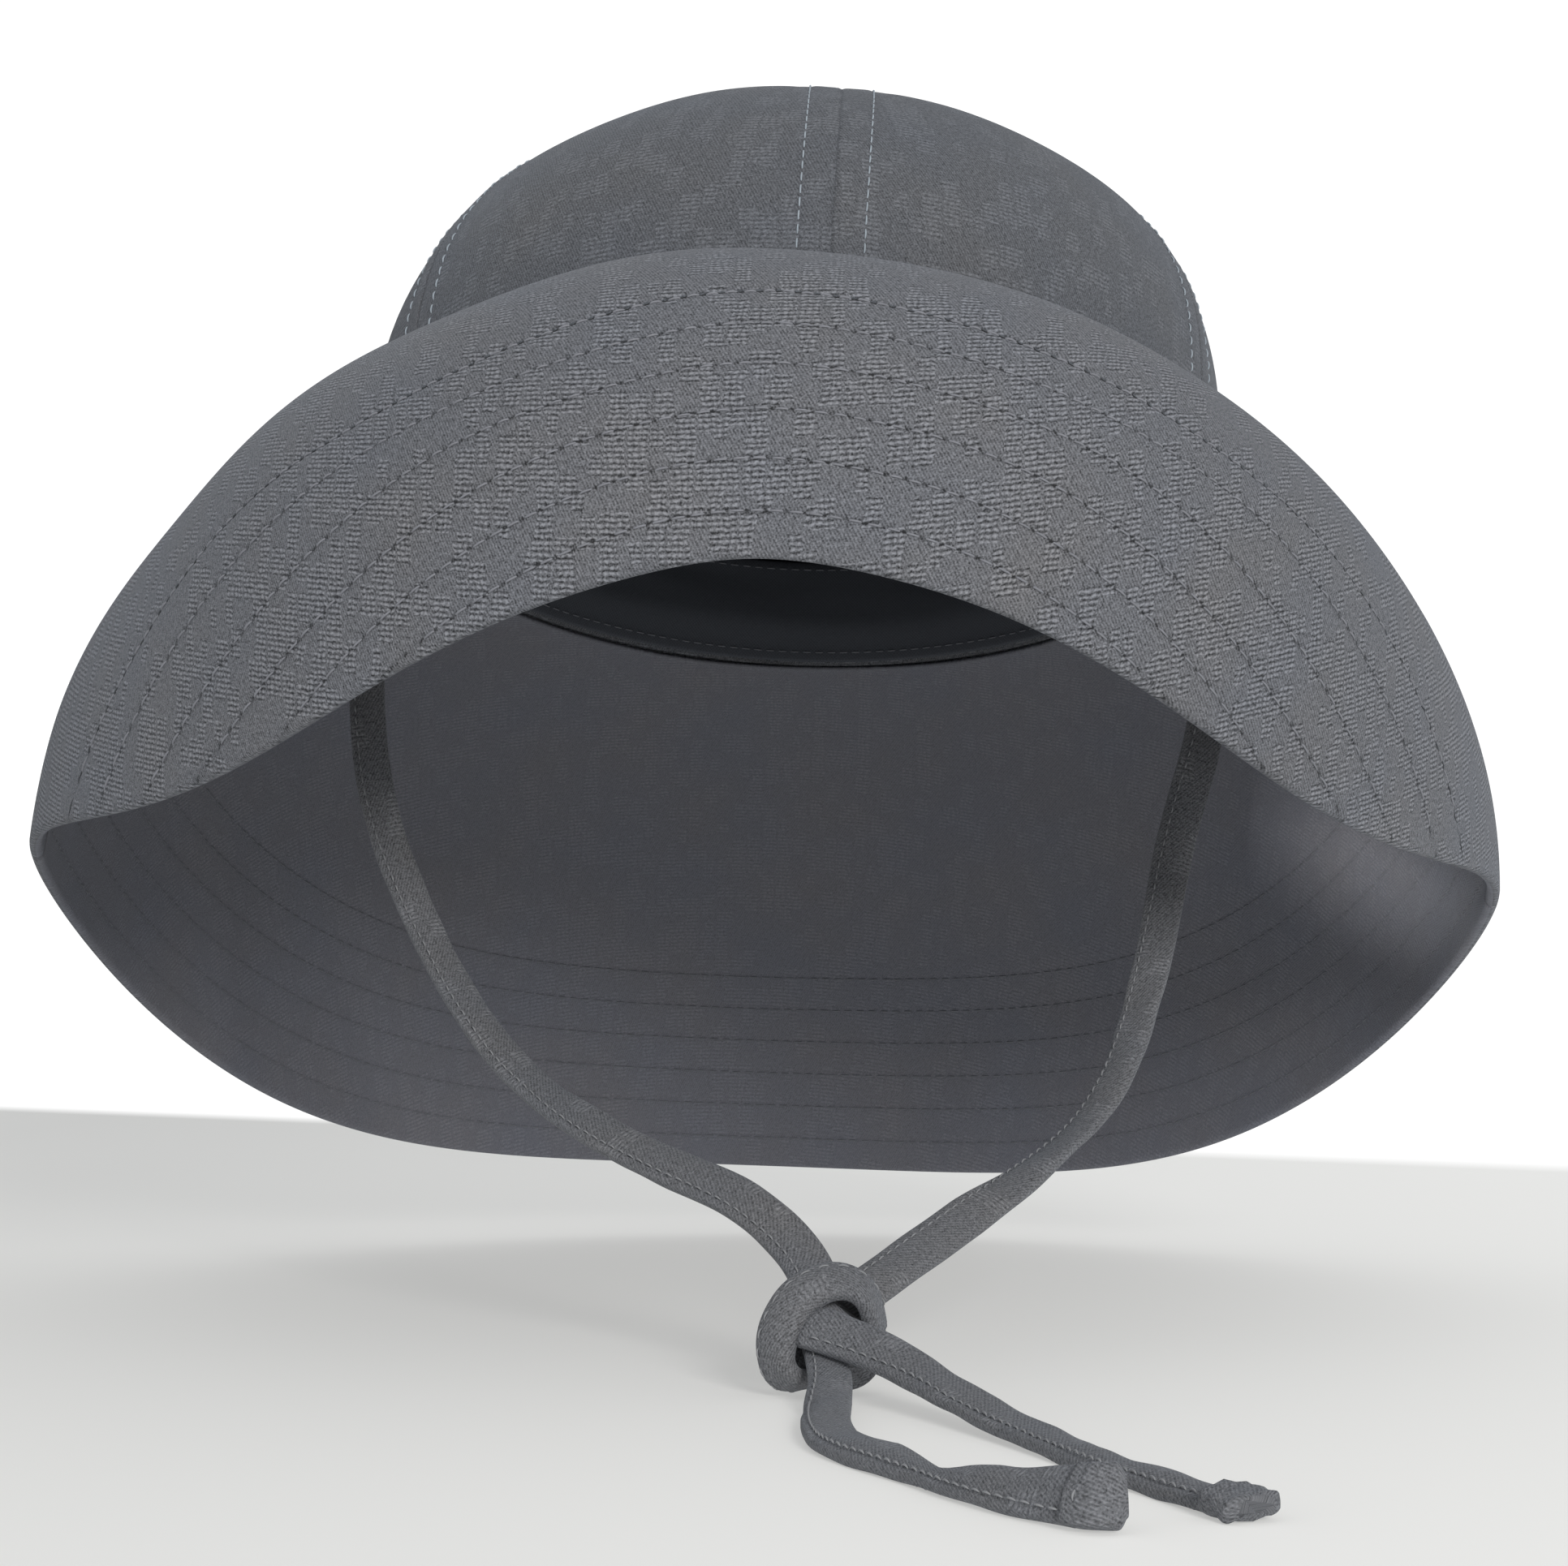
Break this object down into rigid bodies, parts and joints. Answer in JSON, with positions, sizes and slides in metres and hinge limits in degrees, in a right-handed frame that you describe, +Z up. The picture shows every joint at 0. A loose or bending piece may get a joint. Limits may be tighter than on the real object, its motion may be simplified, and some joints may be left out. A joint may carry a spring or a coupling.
{
  "type": "wide-brim sun hat",
  "caption": "Cloth sun hat with a rounded panelled crown, a wide drooping stitched brim that is longest over the neck, and cloth chin ties knotted under the chin.",
  "frame": {"origin": "Centre of the head opening, in the plane of the seam that joins crown and brim.", "axes": "+Z up as worn, the face looks along -Y, +X is on the right of someone facing the hat. The opening's plane leans back 13 degrees and to the +X side 2.8 degrees from level."},
  "size_m": [0.3072, 0.4349, 0.2455],
  "materials": {
    "crown_cloth": "fine dobby-woven cotton, matt",
    "brim_cloth": "dobby-woven cotton, matt, close rows of stitching",
    "under_cloth": "dobby-woven cotton, matt, shaded underside",
    "lining": "plain-woven lining, matt",
    "interfacing": "stiff non-woven interfacing",
    "sweatband": "twill tape, matt",
    "tie_cloth": "folded and edge-stitched cotton tape, matt"
  },
  "bodies": {
    "hat": {"crown_gore_front_right": "crown_cloth", "crown_gore_right": "crown_cloth", "crown_gore_back_right": "crown_cloth", "crown_gore_back_left": "crown_cloth", "crown_gore_left": "crown_cloth", "crown_gore_front_left": "crown_cloth", "lining_gore_front_right": "lining", "lining_gore_right": "lining", "lining_gore_back_right": "lining", "lining_gore_back_left": "lining", "lining_gore_left": "lining", "lining_gore_front_left": "lining", "brim_top_front": "brim_cloth", "brim_top_back": "brim_cloth", "brim_interfacing_front": "interfacing", "brim_interfacing_back": "interfacing", "brim_under_front": "under_cloth", "brim_under_back": "under_cloth", "sweatband": "sweatband", "tie_anchor_left": "tie_cloth", "tie_anchor_right": "tie_cloth"},
    "chin_ties": {"tie_left": "tie_cloth", "tie_right": "tie_cloth", "chin_knot": "tie_cloth", "tie_tail_left": "tie_cloth", "tie_tail_right": "tie_cloth", "tie_hem_left": "tie_cloth", "tie_hem_right": "tie_cloth"}
  },
  "joints": [
    {"name": "chin_tie_swing", "type": "hinge", "parent": "hat", "child": "chin_ties", "pos_m": [-0.0002, -0.0122, -0.0042], "axis": [-0.9988, 0, 0.0484], "range_deg": [0, 25]}
  ]
}
